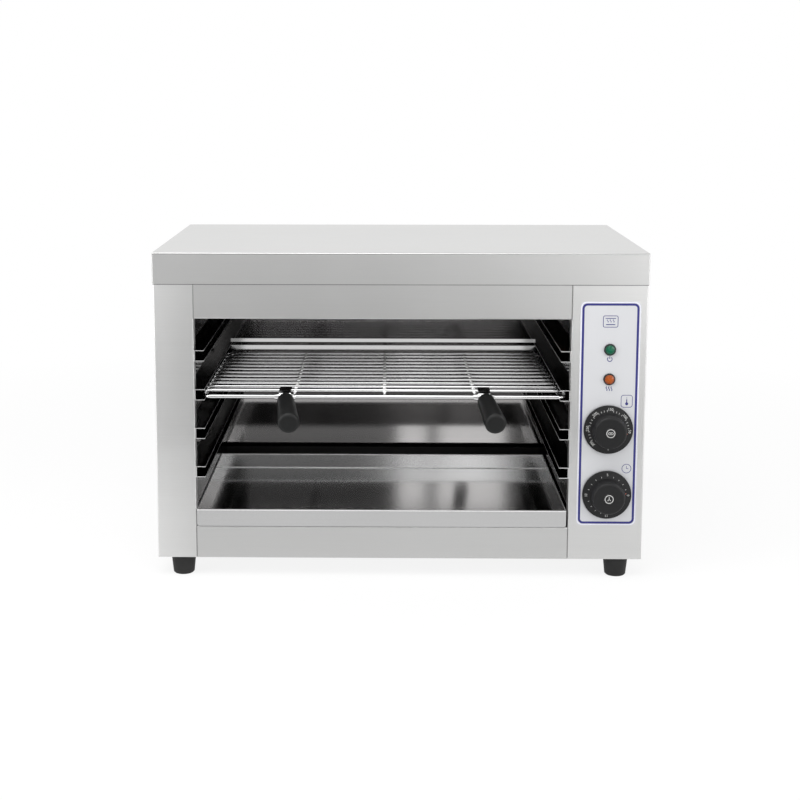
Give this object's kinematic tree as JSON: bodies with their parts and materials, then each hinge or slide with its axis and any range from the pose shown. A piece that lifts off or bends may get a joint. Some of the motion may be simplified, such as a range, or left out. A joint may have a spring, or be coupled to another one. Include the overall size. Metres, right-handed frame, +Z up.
{
  "type": "cheese melter",
  "caption": "Counter-top electric cheese melter: stainless casing with an open front, sliding wire rack with black grips, crumb tray, and a control face with dials and pilot lamps.",
  "frame": {"origin": "on the counter under the feet, in the middle of the melter's whole width and depth", "axes": "+Z up, front faces -Y, +X towards the control face (right as seen from the front)"},
  "size_m": [0.61, 0.4468, 0.4113],
  "materials": {
    "stainless_brushed": "fine brushed stainless sheet",
    "stainless_liner": "mill-finish stainless sheet",
    "stainless_guide": "heat-darkened stainless sheet with bright cut edges",
    "stainless_tray": "semi-bright stainless sheet",
    "chrome_wire": "bright chrome-plated wire",
    "black_grip": "black heat-resistant moulding",
    "black_knob": "satin black moulding with printed dial",
    "black_cap": "satin black disc with a printed pictogram",
    "black_rubber": "matt black rubber",
    "green_lens": "clear green lens",
    "amber_lens": "clear amber lens",
    "lamp_rim": "dark moulded rim",
    "printed_label": "pale printed film with a dark blue border",
    "element_sheath": "oxidised metal sheath",
    "plated_steel": "zinc-plated steel",
    "copper_tube": "drawn copper",
    "pale_moulding": "pale electrical moulding",
    "black_moulding": "black nylon"
  },
  "bodies": {
    "housing": {"base_plate": "stainless_brushed", "bulb_clips": "stainless_liner", "cable_gland": "black_moulding", "casing_screws": "plated_steel", "cavity_back_wall": "stainless_liner", "cavity_ceiling": "stainless_liner", "cavity_floor": "stainless_liner", "cavity_left_wall": "stainless_liner", "cavity_right_wall": "stainless_liner", "control_label": "printed_label", "control_screws": "plated_steel", "element_hangers": "stainless_liner", "element_terminal_pins": "plated_steel", "fascia": "stainless_brushed", "foot_nuts": "plated_steel", "foot_screws": "plated_steel", "front_heating_element": "element_sheath", "front_left_foot": "black_rubber", "front_right_foot": "black_rubber", "gland_nut": "black_moulding", "heat_lamp_barrel": "lamp_rim", "heat_lamp_lens": "amber_lens", "heat_shield": "stainless_liner", "left_guide_1": "stainless_guide", "left_guide_2": "stainless_guide", "left_guide_3": "stainless_guide", "left_guide_4": "stainless_guide", "left_side_panel": "stainless_brushed", "lid": "stainless_brushed", "lower_front_panel": "stainless_brushed", "power_lamp_barrel": "lamp_rim", "power_lamp_lens": "green_lens", "rear_heating_element": "element_sheath", "rear_left_foot": "black_rubber", "rear_panel": "stainless_brushed", "rear_right_foot": "black_rubber", "right_guide_1": "stainless_guide", "right_guide_2": "stainless_guide", "right_guide_3": "stainless_guide", "right_guide_4": "stainless_guide", "right_side_panel": "stainless_brushed", "terminal_block": "pale_moulding", "terminal_screws": "plated_steel", "thermostat_body": "pale_moulding", "thermostat_bulb": "copper_tube", "thermostat_capillary": "copper_tube", "timer_body": "pale_moulding"},
    "rack": {"wire_rack": "chrome_wire", "left_handle_clip": "chrome_wire", "right_handle_clip": "chrome_wire", "left_grip": "black_grip", "right_grip": "black_grip"},
    "crumb_tray": {"crumb_tray": "stainless_tray"},
    "thermostat_dial": {"thermostat_knob": "black_knob", "thermostat_cap": "black_cap", "thermostat_shaft": "plated_steel"},
    "timer_dial": {"timer_knob": "black_knob", "timer_cap": "black_cap", "timer_shaft": "plated_steel"}
  },
  "joints": [
    {"name": "rack_slide", "type": "slide", "parent": "housing", "child": "rack", "axis": [0, -1, 0], "range_m": [0, 0.2]},
    {"name": "tray_slide", "type": "slide", "parent": "housing", "child": "crumb_tray", "axis": [0, -1, 0], "range_m": [0, 0.22]},
    {"name": "thermostat_turn", "type": "hinge", "parent": "housing", "child": "thermostat_dial", "pos_m": [0.2584, -0.15257, 0.19169], "axis": [0, 1, 0], "range_deg": [0, 310]},
    {"name": "timer_turn", "type": "hinge", "parent": "housing", "child": "timer_dial", "pos_m": [0.2584, -0.15257, 0.10849], "axis": [0, 1, 0], "range_deg": [0, 270]}
  ]
}
